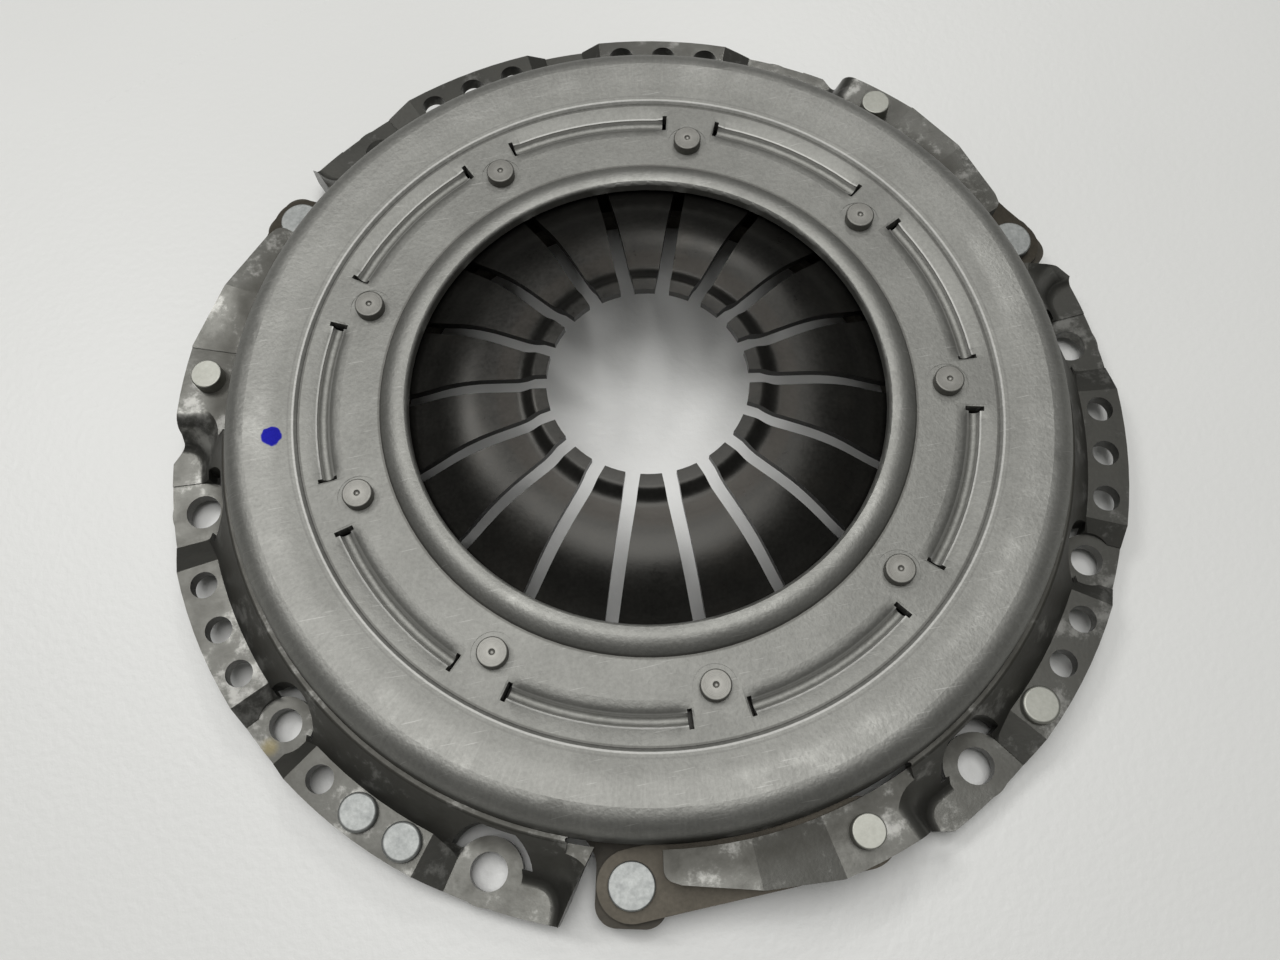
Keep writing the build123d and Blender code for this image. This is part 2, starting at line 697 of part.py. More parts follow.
def fulcrum_ring():
    """Open ring of round wire under the spring."""
    section = Pos(wire_circle_r, wire_centre_z()) * Circle(wire_r)
    start = first_rivet + 180 / shoulder_rivets + wire_gap_angle
    return turned(section, start, 360 - 2 * wire_gap_angle)


# ================================================================= pressure plate
def ridge_top_z():
    """Height of the ridge that carries the spring's rim."""
    return cone_z(ridge_r) - spring_t * sqrt(1 + cone_slope ** 2) - seat_gap - ridge_play


def plate_ring():
    """The cast friction ring with its two chamfered edges."""
    ring = ring_block(plate_bore_r, plate_r, 0, 360, friction_z, plate_back_z)
    rims = edges_where(ring, lambda r, a, z, e: e.geom_type == GeomType.CIRCLE)
    return chamfer(rims, plate_chamfer)


def ridge(start, end):
    """One length of the raised ridge under the spring's rim."""
    top = ridge_top_z()
    section = make_face(Polyline(
        (ridge_r - ridge_foot_w / 2, plate_back_z - ridge_sink),
        (ridge_r - ridge_top_w / 2, top), (ridge_r + ridge_top_w / 2, top),
        (ridge_r + ridge_foot_w / 2, plate_back_z - ridge_sink),
        close=True))
    crest = [v for v in section.vertices() if v.Y > top - ridge_flat]
    return turned(fillet(crest, ridge_top_w / 2 - ridge_flat), start, end - start)


def lug():
    """Lug on the plate, drawn pointing along +X, with flared root and round corners."""
    flare = lug_half_w + lug_root
    root_r = plate_r - lug_sink
    flare_r = plate_r + lug_root * lug_flare
    outline = make_face(Polyline(
        (root_r, -flare), (flare_r, -lug_half_w), (lug_out_r, -lug_half_w),
        (lug_out_r, lug_half_w), (flare_r, lug_half_w), (root_r, flare),
        close=True))
    ends = [v for v in outline.vertices() if v.X > lug_out_r - past]
    outline = fillet(ends, lug_corner)
    roots = [v for v in outline.vertices()
             if abs(v.X - flare_r) < 0.01]
    outline = fillet(roots, lug_root)
    low = friction_z + lug_under
    top = lug_strap_top - leaves * (leaf_t + seat_gap) - seat_gap
    body = Pos(0, 0, low) * extrude(outline, top - low)
    body -= post(lug_pin_r, 0, lug_shank_r + running_gap, deep, high)
    return body - post(lug_pin_r, 0, counterbore_r, deep, low + counterbore_depth)


def pressure_plate():
    """Cast-iron plate: friction ring, broken ridge and three drilled lugs."""
    plate = plate_ring()
    for angle in sector_angles:
        plate += Rot(0, 0, angle - lug_angle) * lug()
    plate -= ring_block(past, plate_bore_r, 0, 360, deep, high)
    pitch = 360 / ridges
    for n in range(ridges):
        start = first_rivet + n * pitch + ridge_gap_angle / 2
        plate += ridge(start, start + pitch - ridge_gap_angle)
    return plate


# ================================================================= straps
def strap_leaf(layer):
    """One spring leaf, from the lug at the origin to the cover rivet along +X."""
    start = Vector(*at(lug_pin_r, -lug_angle), 0)
    finish = Vector(*at(strap_pin_r, -strap_angle), 0)
    length = (finish - start).length
    drop = layer * (leaf_t + seat_gap)
    z_lug = lug_strap_top - drop
    z_cover = shelf_under - seat_gap - drop
    line = [(-strap_over, z_lug), (strap_flat, z_lug), (length - strap_flat, z_cover),
            (length + strap_over, z_cover)]
    lower = [(x, z - leaf_t) for x, z in reversed(line)]
    section = Plane.XZ * make_face(Polyline(*line, *lower, close=True))
    ribbon = Pos(0, strap_half_w + past, 0) * extrude(section, 2 * (strap_half_w + past))
    plan = SlotCenterToCenter(length, 2 * strap_half_w)
    outline = Pos(length / 2, 0, deep) * extrude(plan, high - deep)
    leaf = ribbon & outline
    leaf -= Cylinder(lug_shank_r + running_gap, 2 * high)
    leaf -= Pos(length, 0, 0) * Cylinder(strap_shank_r + running_gap, 2 * high)
    run = finish - start
    turn = degrees(atan2(run.Y, run.X))
    return Pos(start.X, start.Y, 0) * Rot(0, 0, turn) * leaf


# ================================================================= rivets
def turned_rivet(*steps):
    """Stack of round steps, each radius, bottom and top, on the Z axis."""
    body = None
    for radius, low, top in steps:
        piece = Pos(0, 0, (low + top) / 2) * Cylinder(radius, top - low)
        body = piece if body is None else body + piece
    return body


def crowned(body, z, radius, edge):
    """Round the rim of the head whose top lies at z."""
    rim = edges_where(body, lambda r, a, zz, e: abs(zz - z) < 0.01
                      and e.geom_type == GeomType.CIRCLE and abs(e.radius - radius) < 0.01)
    return fillet(rim, edge)


def shoulder_rivet():
    """Shoulder rivet: closed head on the cover, stepped body, wide foot under the wire."""
    seat = face_z - coin_depth
    foot_top = wire_centre_z() - wire_r - seat_gap
    head_top = seat + seat_gap + shoulder_head_h
    body = turned_rivet(
        (shoulder_foot_r, foot_top - shoulder_foot_h, foot_top),
        (shoulder_body_r, foot_top, face_under - seat_gap),
        (shoulder_shank_r, face_under - seat_gap, seat + seat_gap),
        (shoulder_head_r, seat + seat_gap, head_top))
    body = crowned(body, head_top, shoulder_head_r, head_edge)
    body = crowned(body, foot_top - shoulder_foot_h, shoulder_foot_r, 2 * head_edge)
    return body - Pos(0, 0, head_top + dimple_r * dimple_lift) * Sphere(dimple_r)


def strap_rivet():
    """Rivet that holds a strap pack under the cover's shelf."""
    head_top = shelf_top + seat_gap + strap_head_h
    pack_low = shelf_under - seat_gap - leaves * (leaf_t + seat_gap)
    body = turned_rivet(
        (strap_foot_r, pack_low - strap_foot_h, pack_low),
        (strap_shank_r, pack_low, shelf_top + seat_gap),
        (strap_head_r, shelf_top + seat_gap, head_top))
    body = crowned(body, head_top, strap_head_r, head_edge)
    return crowned(body, pack_low - strap_foot_h, strap_foot_r, 2 * head_edge)


def lug_rivet():
    """Wide-headed rivet that holds a strap pack on the plate's lug."""
    head_low = lug_strap_top + seat_gap
    head_top = head_low + lug_head_h
    recess = friction_z + lug_under + counterbore_depth
    tail_low = recess - counterbore_depth + lug_tail_clear
    body = turned_rivet(
        (lug_head_r - lug_tail_play, tail_low, recess - seat_gap),
        (lug_shank_r, recess - seat_gap, head_low),
        (lug_head_r, head_low, head_top))
    return crowned(body, head_top, lug_head_r, head_edge)


def balance_rivet():
    """Flat weight rivet closed in a balance hole of the flange."""
    head_low = strip_top + seat_gap
    head_top = head_low + balance_head_h
    tail_top = strip_top - sheet - seat_gap
    body = turned_rivet(
        (balance_tail_r, tail_top - balance_tail_h, tail_top),
        (balance_hole_r - running_gap, tail_top, head_low),
        (balance_head_r, head_low, head_top))
    body = crowned(body, head_top, balance_head_r, 2 * head_edge)
    return crowned(body, tail_top - balance_tail_h, balance_tail_r, head_edge)


# ================================================================= write the parts
def place(shape, r, angle):
    """Stand a piece at a point in plan."""
    x, y = at(r, angle)
    return Pos(x, y, 0) * shape


def write(shape, name):
    """One STEP file per node."""
    shape.label = name
    export_step(shape, f"parts/{name}.step")


write(cover(), "cover")
write(diaphragm_spring(), "diaphragm_spring")
write(fulcrum_ring(), "fulcrum_ring")
write(pressure_plate(), "pressure_plate")

shoulder = shoulder_rivet()
for n, angle in enumerate(rivet_angles, 1):
    write(place(shoulder, rivet_circle_r, angle), f"shoulder_rivet_{n}")

for n, angle in enumerate(sector_angles, 1):
    for layer in range(leaves):
        write(Rot(0, 0, angle) * strap_leaf(layer), f"strap_{n}_leaf_{layer + 1}")
    write(place(strap_rivet(), strap_pin_r, angle - strap_angle), f"strap_rivet_{n}")
    write(place(lug_rivet(), lug_pin_r, angle - lug_angle), f"lug_rivet_{n}")

for n, (sector, angle) in enumerate(balanced, 1):
    spot = sector_angles[sector] + angle
    write(place(balance_rivet(), balance_circle_r, spot), f"balance_rivet_{n}")
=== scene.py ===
import math
import bpy
import bmesh
from mathutils import Matrix, Vector


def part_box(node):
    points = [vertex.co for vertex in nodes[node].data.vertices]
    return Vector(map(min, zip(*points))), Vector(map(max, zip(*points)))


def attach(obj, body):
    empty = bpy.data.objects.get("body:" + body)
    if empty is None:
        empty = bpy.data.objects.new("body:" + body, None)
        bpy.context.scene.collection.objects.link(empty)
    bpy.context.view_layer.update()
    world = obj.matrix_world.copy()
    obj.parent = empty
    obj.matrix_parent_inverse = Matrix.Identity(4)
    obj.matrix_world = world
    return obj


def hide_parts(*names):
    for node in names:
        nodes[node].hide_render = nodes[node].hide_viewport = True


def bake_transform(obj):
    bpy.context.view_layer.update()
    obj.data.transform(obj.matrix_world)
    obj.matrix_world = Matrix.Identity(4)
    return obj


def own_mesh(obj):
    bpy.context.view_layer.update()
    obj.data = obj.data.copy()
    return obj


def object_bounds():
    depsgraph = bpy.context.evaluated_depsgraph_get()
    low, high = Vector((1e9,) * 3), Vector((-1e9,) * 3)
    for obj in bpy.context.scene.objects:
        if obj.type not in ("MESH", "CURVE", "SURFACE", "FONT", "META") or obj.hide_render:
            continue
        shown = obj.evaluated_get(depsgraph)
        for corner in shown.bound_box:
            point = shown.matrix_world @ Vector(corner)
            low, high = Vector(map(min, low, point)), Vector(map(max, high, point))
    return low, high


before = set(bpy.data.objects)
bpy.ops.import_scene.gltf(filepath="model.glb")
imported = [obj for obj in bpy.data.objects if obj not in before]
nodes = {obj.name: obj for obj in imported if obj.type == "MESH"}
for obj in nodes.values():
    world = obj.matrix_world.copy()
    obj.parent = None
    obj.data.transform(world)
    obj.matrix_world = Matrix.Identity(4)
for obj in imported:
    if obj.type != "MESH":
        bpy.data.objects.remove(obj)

cad_box = [list(corner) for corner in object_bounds()]

# ---------------------------------------------------------------- bench, daylight and camera
# The clutch lies flywheel side down on a pale, lightly pebbled painted bench. A broad ceiling
# light hangs over it, one window is at the upper left and a fainter one beyond it on the right,
# and the rest of the room is dim.
bench_half = 3.0
bench_gap = 0.0002              # keeps the bench just clear of the clutch's lowest face
bench_z = cad_box[0][2] - bench_gap
bench_corners = [(side_x * bench_half, side_y * bench_half, bench_z)
                 for side_x, side_y in ((-1, -1), (1, -1), (1, 1), (-1, 1))]
bench_mesh = bpy.data.meshes.new("bench")
bench_mesh.from_pydata(bench_corners, [], [(0, 1, 2, 3)])
bench = bpy.data.objects.new("bench", bench_mesh)
bpy.context.scene.collection.objects.link(bench)


def new_material(name):
    """A material whose shader is wired to its output; returns it, its tree and the shader."""
    material = bpy.data.materials.new(name)
    material.use_nodes = True
    tree = material.node_tree
    tree.nodes.clear()
    output = tree.nodes.new("ShaderNodeOutputMaterial")
    shader = tree.nodes.new("ShaderNodeBsdfPrincipled")
    tree.links.new(shader.outputs["BSDF"], output.inputs["Surface"])
    return material, tree, shader


def add(tree, kind, **settings):
    """A node with some of its settings and input values given by name."""
    node = tree.nodes.new(kind)
    for key, value in settings.items():
        if hasattr(node, key):
            setattr(node, key, value)
        else:
            node.inputs[key].default_value = value
    return node


def feed(tree, socket, value):
    """Give an input a number, a colour or what another node puts out."""
    if isinstance(value, (int, float)):
        socket.default_value = value
    elif isinstance(value, tuple):
        socket.default_value = (*value, 1)
    else:
        tree.links.new(value, socket)


def maths(tree, operation, a, b=None, clamp=False):
    """The result of one Math node."""
    node = add(tree, "ShaderNodeMath", operation=operation, use_clamp=clamp)
    feed(tree, node.inputs[0], a)
    if b is not None:
        feed(tree, node.inputs[1], b)
    return node.outputs[0]


def mixed(tree, factor, a, b):
    """A mix of two colours, all b where the factor is 1."""
    node = add(tree, "ShaderNodeMix", data_type="RGBA")
    feed(tree, node.inputs[0], factor)
    feed(tree, node.inputs[6], a)
    feed(tree, node.inputs[7], b)
    return node.outputs[2]


def ramp(tree, value, low, high):
    """A smooth step of a value, from 0 at low to 1 at high."""
    node = add(tree, "ShaderNodeMapRange", interpolation_type="SMOOTHSTEP")
    feed(tree, node.inputs[0], value)
    feed(tree, node.inputs[1], low)
    feed(tree, node.inputs[2], high)
    return node.outputs[0]


def noise(tree, where, scale, detail, roughness=0.5, distortion=0.0):
    """The value of a noise texture over some coordinates."""
    node = add(tree, "ShaderNodeTexNoise", Detail=detail, Roughness=roughness,
               Distortion=distortion)
    feed(tree, node.inputs["Vector"], where)
    feed(tree, node.inputs["Scale"], scale)
    return node.outputs["Fac"]


def relief(tree, shader, height, strength, depth):
    """Fine relief on a material's surface."""
    bump = add(tree, "ShaderNodeBump", Distance=depth)
    feed(tree, bump.inputs["Strength"], strength)
    feed(tree, bump.inputs["Height"], height)
    feed(tree, shader.inputs["Normal"], bump.outputs["Normal"])


paint_shade = (0.64, 0.64, 0.62)
paint_light = (0.71, 0.71, 0.69)
bench_paint, tree, shader = new_material("bench_paint")
where = add(tree, "ShaderNodeTexCoord").outputs["Object"]
clouds = noise(tree, where, scale=5.0, detail=4.0)
pebbles = noise(tree, where, scale=420.0, detail=3.0)
feed(tree, shader.inputs["Base Color"], mixed(tree, clouds, paint_shade, paint_light))
feed(tree, shader.inputs["Roughness"], 0.42)
relief(tree, shader, pebbles, strength=0.24, depth=0.0006)
bench.data.materials.append(bench_paint)

room_low = (0.12, 0.122, 0.12)
room_high = (0.42, 0.422, 0.41)
room = bpy.data.worlds.new("room")
bpy.context.scene.world = room
room.use_nodes = True
sky = room.node_tree
sky.nodes.clear()
sky_out = add(sky, "ShaderNodeOutputWorld")
sky_light = add(sky, "ShaderNodeBackground", Strength=0.5)
heading = add(sky, "ShaderNodeSeparateXYZ")
feed(sky, heading.inputs[0], add(sky, "ShaderNodeTexCoord").outputs["Generated"])
rise = ramp(sky, heading.outputs["Z"], low=0.0, high=0.9)
feed(sky, sky_light.inputs["Color"], mixed(sky, rise, room_low, room_high))
feed(sky, sky_out.inputs[0], sky_light.outputs[0])


def soft_light(name, width, place, power):
    """A square soft light at a place, facing the middle of the clutch."""
    lamp = bpy.data.lights.new(name, "AREA")
    lamp.shape = "SQUARE"
    lamp.size = width
    lamp.energy = power
    body = bpy.data.objects.new(name, lamp)
    facing = (-Vector(place)).to_track_quat("-Z", "Y").to_matrix().to_4x4()
    body.matrix_world = Matrix.Translation(place) @ facing
    bpy.context.scene.collection.objects.link(body)


soft_light("window_light", width=0.36, place=(-0.58, 0.48, 1.15), power=4.4)
soft_light("far_light", width=0.3, place=(0.4, 0.95, 1.2), power=3.0)
soft_light("ceiling_light", width=0.9, place=(0.0, 0.10, 1.6), power=15.5)

camera_place = Vector((-0.02808, -0.13116, 0.32122))
camera_aim = Vector((-0.00564, -0.01545, 0.0))
camera_roll = math.radians(-0.738)
focal_length_mm = 30.825
sensor_width_mm = 36.0
lens = bpy.data.cameras.new("camera")
lens.lens = focal_length_mm
lens.sensor_width = sensor_width_mm
camera = bpy.data.objects.new("camera", lens)
facing = (camera_aim - camera_place).to_track_quat("-Z", "Y").to_matrix().to_4x4()
camera.matrix_world = (Matrix.Translation(camera_place) @ facing
                       @ Matrix.Rotation(camera_roll, 4, "Z"))
bpy.context.scene.collection.objects.link(camera)
bpy.context.scene.camera = camera
bpy.context.scene.view_settings.view_transform = "Standard"

# ---------------------------------------------------------------- cover
# One pressing of thick deep-drawing steel, bead-blasted after forming to an even matt grey,
# rubbed brighter on its high places, with painted shade and painted highlights along its
# creases.
# Its flange, which bolts to the flywheel, is oily and sooty, and is darkened further with
# painted shade. Every other piece hangs from the cover.


def group(name, inputs, outputs):
    """An empty shader group of numbers; returns it with its input and output nodes."""
    made = bpy.data.node_groups.new(name, "ShaderNodeTree")
    for label, value in inputs.items():
        socket = made.interface.new_socket(label, in_out="INPUT",
                                           socket_type="NodeSocketFloat")
        socket.default_value = value
    for label in outputs:
        made.interface.new_socket(label, in_out="OUTPUT", socket_type="NodeSocketFloat")
    return made, made.nodes.new("NodeGroupInput"), made.nodes.new("NodeGroupOutput")


def scaled(tree, value, factor):
    """A value times a number or another value."""
    return maths(tree, "MULTIPLY", value, factor)


# the blasted skin: grain, a cloudy tone, patches of rub, and hairline scratches in three
# directions, each given by its lean and by a shift that makes its lines differ
scratch_directions = ((0.6, 0.0), (-0.8, 3.0), (1.9, 7.0))
scratch_stretch = (95.0, 2400.0, 40.0)
grain_in_tone = 0.9
blast, ask, give = group("blasted_skin", {"Grain": 900.0, "Blotch": 55.0},
                         ("Height", "Tone", "Rub", "Scratches"))
spot = add(blast, "ShaderNodeTexCoord").outputs["Object"]
grain = noise(blast, spot, ask.outputs["Grain"], detail=3.0, roughness=0.6)
blotch = noise(blast, spot, ask.outputs["Blotch"], detail=5.0, roughness=0.55)
rub = noise(blast, spot, scale=17.0, detail=6.0, roughness=0.72)
scratches = 0.0
for lean, shift in scratch_directions:
    turned = add(blast, "ShaderNodeMapping", Rotation=(0.0, 0.0, lean),
                 Scale=scratch_stretch, Location=(shift, shift, shift))
    feed(blast, turned.inputs["Vector"], spot)
    lines = noise(blast, turned.outputs["Vector"], scale=1.0, detail=1.0)
    nicks = ramp(blast, lines, low=0.72, high=0.80)
    scratches = maths(blast, "MAXIMUM", scratches, nicks)
speckle = scaled(blast, maths(blast, "SUBTRACT", grain, 0.5), grain_in_tone)
feed(blast, give.inputs["Height"], grain)
feed(blast, give.inputs["Tone"], maths(blast, "ADD", blotch, speckle, clamp=True))
feed(blast, give.inputs["Rub"], ramp(blast, rub, low=0.52, high=0.68))
feed(blast, give.inputs["Scratches"], scratches)


def skin_of(tree, dark, light, **sizes):
    """The blasted skin in a material, and its tone between two colours."""
    skin = add(tree, "ShaderNodeGroup", node_tree=blast, **sizes)
    return skin, mixed(tree, skin.outputs["Tone"], dark, light)


def place_of(tree):
    """Sockets with a point's place on the clutch and the place's X, Y and height."""
    here = add(tree, "ShaderNodeTexCoord").outputs["Object"]
    split = add(tree, "ShaderNodeSeparateXYZ")
    feed(tree, split.inputs[0], here)
    return here, *split.outputs


def reach(tree, x, y):
    """The distance from the middle of two axes."""
    squares = maths(tree, "ADD", maths(tree, "POWER", x, 2.0), maths(tree, "POWER", y, 2.0))
    return maths(tree, "SQRT", squares)


def inverse(tree, value):
    """1 less a value."""
    return maths(tree, "SUBTRACT", 1.0, value)


def band(tree, value, middle, half):
    """1 in the middle of a band of a value, falling to 0 at its edges."""
    full_share = 0.35               # of the half width, over which the band is at its full
    off = maths(tree, "ABSOLUTE", maths(tree, "SUBTRACT", value, middle))
    return inverse(tree, ramp(tree, off, half * full_share, half))


def lay(tree, tone, mask, strength, colour):
    """A colour laid over a tone where a mask is high."""
    return mixed(tree, scaled(tree, mask, strength), tone, colour)


def distance_from(tree, where, centre):
    """The distance from a point."""
    node = add(tree, "ShaderNodeVectorMath", operation="DISTANCE")
    feed(tree, node.inputs[0], where)
    node.inputs[1].default_value = centre
    return node.outputs["Value"]


blasted_dark = (0.150, 0.149, 0.137)
blasted_light = (0.255, 0.254, 0.235)
cover_steel, tree, shader = new_material("cover_steel")
where, x, y, level = place_of(tree)
radius = reach(tree, x, y)
turn = maths(tree, "ARCTAN2", y, x)
skin, tone = skin_of(tree, blasted_dark, blasted_light)

# drawing marks: fine bright and dull lines that run out over the crown and down the wall
crown_start_r = 0.103
crown_full_r = 0.112
mark_stretch = (150.0, 90.0, 60.0)    # round the axis, away from it and up
bright_mark = (0.36, 0.355, 0.33)
dull_mark = (0.10, 0.098, 0.088)
polar = add(tree, "ShaderNodeCombineXYZ")
for socket, value, stretch in zip(polar.inputs, (turn, radius, level), mark_stretch):
    feed(tree, socket, scaled(tree, value, stretch))
drawn = noise(tree, polar.outputs[0], scale=1.0, detail=3.0, roughness=0.6)
on_crown = ramp(tree, radius, crown_start_r, crown_full_r)
bright_lines = scaled(tree, ramp(tree, drawn, low=0.5, high=0.72), on_crown)
dull_lines = scaled(tree, ramp(tree, drawn, low=0.48, high=0.28), on_crown)
tone = lay(tree, tone, bright_lines, strength=0.12, colour=bright_mark)
tone = lay(tree, tone, dull_lines, strength=0.12, colour=dull_mark)

# rubbed metal on the bead and the crown, where covers are stacked, and scratches everywhere
bead_r = 0.0722
bead_half_w = 0.0042
crown_r = 0.1145
crown_half_w = 0.008
high_above = 0.0295
rubbed_bare = (0.50, 0.497, 0.47)
scratched_bare = (0.55, 0.545, 0.52)
bead_top = band(tree, radius, bead_r, bead_half_w)
crown = band(tree, radius, crown_r, crown_half_w)
high_places = scaled(tree, maths(tree, "ADD", bead_top, crown, clamp=True),
                     maths(tree, "GREATER_THAN", level, high_above))
patches = maths(tree, "ADD", skin.outputs["Rub"], 0.35)
rubbed = maths(tree, "MULTIPLY", high_places, patches, clamp=True)
tone = lay(tree, tone, rubbed, strength=0.12, colour=rubbed_bare)
tone = lay(tree, tone, skin.outputs["Scratches"], strength=0.22, colour=scratched_bare)

# pressing lines on the face, each with its radius, half width, strength and colour: painted
# shade in the crease beside the bead, painted shade in the crease below the crown, a painted
# highlight on its edge and a dull line of painted shade
face_above = 0.029
crease_shade_and_highlight_lines = ((0.0780, 0.0008, 0.6, (0.07, 0.067, 0.06)),
                  (0.1014, 0.0006, 0.6, (0.06, 0.058, 0.052)),
                  (0.1028, 0.0005, 0.35, (0.60, 0.595, 0.57)),
                  (0.1042, 0.0004, 0.25, (0.10, 0.097, 0.09)))
on_face = maths(tree, "GREATER_THAN", level, face_above)
for line_r, half_w, strength, colour in crease_shade_and_highlight_lines:
    line = scaled(tree, band(tree, radius, line_r, half_w), strength)
    tone = mixed(tree, scaled(tree, line, on_face), tone, colour)

# painted highlights on the edges of the pressed grooves, which lie just under the face
groove_edges_r = (0.0930, 0.0962)
groove_edge_half_w = 0.0006
groove_above = 0.0270
groove_below = 0.0303
groove_highlight = (0.62, 0.615, 0.59)
in_groove = scaled(tree, maths(tree, "LESS_THAN", level, groove_below),
                   maths(tree, "GREATER_THAN", level, groove_above))
for edge_r in groove_edges_r:
    edge = scaled(tree, band(tree, radius, edge_r, groove_edge_half_w), in_groove)
    tone = lay(tree, tone, edge, strength=0.35, colour=groove_highlight)

# the flange and ledge, darkened all over by oil and soot and by painted shade, less so up the
# wall, with a band of painted shade at the wall's foot, an oil film in sooty patches, and
# painted glints of bare metal between them
soil_and_shade_below = 0.0205
clean_above = 0.0295
foot_r = 0.1265
foot_half_w = 0.010
soil_and_shade_tone = (0.050, 0.049, 0.043)
oil_and_shade = (0.044, 0.042, 0.034)
glint_bare = (0.42, 0.415, 0.39)
soil_and_shade = inverse(tree, ramp(tree, level, soil_and_shade_below, clean_above))
soot = noise(tree, where, scale=70.0, detail=6.0, roughness=0.68)
foot_shade = band(tree, radius, foot_r, foot_half_w)
film_and_shade = maths(tree, "ADD", scaled(tree, foot_shade, 0.75),
             scaled(tree, ramp(tree, soot, low=0.42, high=0.68), 0.55))
film_and_shade = maths(tree, "MULTIPLY", scaled(tree, film_and_shade, soil_and_shade), 0.8, clamp=True)
glints = scaled(tree, ramp(tree, soot, low=0.46, high=0.34), soil_and_shade)
tone = lay(tree, tone, soil_and_shade, strength=0.80, colour=soil_and_shade_tone)
tone = mixed(tree, film_and_shade, tone, oil_and_shade)
tone = lay(tree, tone, glints, strength=0.35, colour=glint_bare)

# a drop of old yellow oil on one bolt pad, and on the crown the inspector's dab of blue ink,
# through which the metal shines
drop_place = (-0.1250, -0.0745, 0.005)
drop_full_r = 0.0010
drop_edge_r = 0.0036
old_oil = (0.15, 0.12, 0.045)
from_drop = distance_from(tree, where, drop_place)
drop = inverse(tree, ramp(tree, from_drop, drop_full_r, drop_edge_r))
tone = lay(tree, tone, drop, strength=0.55, colour=old_oil)
dab_place = (-0.1083, 0.0074, 0.032)
dab_full_r = 0.0040
dab_edge_r = 0.0044
dab_raggedness = 0.0026         # the most that its uneven edge takes off the dab's radius
blue_ink = (0.002, 0.002, 0.20)
ragged = scaled(tree, noise(tree, where, scale=260.0, detail=2.0), dab_raggedness)
from_dab = maths(tree, "ADD", distance_from(tree, where, dab_place), ragged)
dab = inverse(tree, ramp(tree, from_dab, dab_full_r, dab_edge_r))
tone = mixed(tree, dab, tone, blue_ink)
feed(tree, shader.inputs["Base Color"], tone)

# glossier where rubbed and on the oily, shaded flange, duller and less metallic under the oil
# film and the painted shade at the wall's foot
matt = maths(tree, "SUBTRACT", 0.56, scaled(tree, rubbed, 0.10))
matt = maths(tree, "SUBTRACT", matt, scaled(tree, soil_and_shade, 0.22))
matt = maths(tree, "ADD", matt, scaled(tree, film_and_shade, 0.16))
metal = maths(tree, "SUBTRACT", 0.78, scaled(tree, film_and_shade, 0.3))
grain_strength = maths(tree, "SUBTRACT", 0.75, scaled(tree, soil_and_shade, 0.55))
feed(tree, shader.inputs["Roughness"], matt)
feed(tree, shader.inputs["Metallic"], metal)
relief(tree, shader, skin.outputs["Height"], grain_strength, depth=0.00014)


def finish_node(name, material):
    """Give a carried-over piece its one material."""
    mesh = nodes[name].data
    mesh.materials.clear()
    mesh.materials.append(material)


finish_node("cover", cover_steel)

# ---------------------------------------------------------------- diaphragm spring
# A coned disc of spring steel, slotted into eighteen fingers, hardened and shot-peened, almost
# black and oily, with a faint brown ring round the hardened finger tips. It sits between the
# cover's grooves and the fulcrum ring, and flattens as the plate lifts.
peened_dark = (0.013, 0.0125, 0.011)
peened_light = (0.030, 0.029, 0.026)
heat_r = 0.0405
heat_half_w = 0.0040
heat_brown = (0.036, 0.028, 0.021)
oil_smear = (0.040, 0.036, 0.030)
spring_steel, tree, shader = new_material("spring_steel")
where, x, y, _ = place_of(tree)
skin, tone = skin_of(tree, peened_dark, peened_light, Blotch=90.0)
heat = band(tree, reach(tree, x, y), heat_r, heat_half_w)
tone = lay(tree, tone, heat, strength=0.18, colour=heat_brown)
swirl = noise(tree, where, scale=34.0, detail=4.0, roughness=0.6, distortion=0.8)
tone = lay(tree, tone, ramp(tree, swirl, low=0.52, high=0.7), strength=0.25, colour=oil_smear)
sheen = maths(tree, "ADD", 0.24, scaled(tree, skin.outputs["Tone"], 0.16))
feed(tree, shader.inputs["Base Color"], tone)
feed(tree, shader.inputs["Metallic"], 0.8)
feed(tree, shader.inputs["Roughness"], sheen)
relief(tree, shader, skin.outputs["Height"], strength=0.2, depth=0.00008)
finish_node("diaphragm_spring", spring_steel)


def flexing(node, start=None, end=None, lengths=1):
    """A welded copy of a node, cut into some lengths from start to end
    so that it bends smoothly."""
    weld_distance = 1e-6
    sharp_edge = math.radians(30)
    shape = bmesh.new()
    shape.from_mesh(nodes[node].data)
    bmesh.ops.remove_doubles(shape, verts=shape.verts[:], dist=weld_distance)
    for cut in range(1, lengths):
        everything = shape.verts[:] + shape.edges[:] + shape.faces[:]
        bmesh.ops.bisect_plane(shape, geom=everything, plane_co=start.lerp(end, cut / lengths),
                               plane_no=end - start)
    mesh = nodes[node].data.copy()
    shape.to_mesh(mesh)
    shape.free()
    if "custom_normal" in mesh.attributes:
        mesh.attributes.remove(mesh.attributes["custom_normal"])
    mesh.shade_smooth()
    mesh.set_sharp_from_angle(angle=sharp_edge)
    piece = bpy.data.objects.new("flexing_" + node, mesh)
    bpy.context.scene.collection.objects.link(piece)
    return piece


cone = flexing("diaphragm_spring")
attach(cone, "cover")
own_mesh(cone)
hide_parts("diaphragm_spring")

# ---------------------------------------------------------------- fulcrum ring
# A ring of round spring wire on the feet of the shoulder rivets. It is the spring's lower
# seat, and has the same dark, oiled finish.
finish_node("fulcrum_ring", spring_steel)

# ---------------------------------------------------------------- shoulder rivets
# Nine stepped steel pins, closed on the cover's face, that locate the spring and carry the
# fulcrum ring. Their heads are turned and then blasted with the cover, so that faint rings
# show round a middle brightened by a painted highlight.


def middle_of(node):
    """The middle of a node's box at rest, set down on the flywheel's face."""
    lowest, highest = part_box(node)
    middle = (Vector(lowest) + Vector(highest)) / 2
    middle.z = 0.0
    return middle


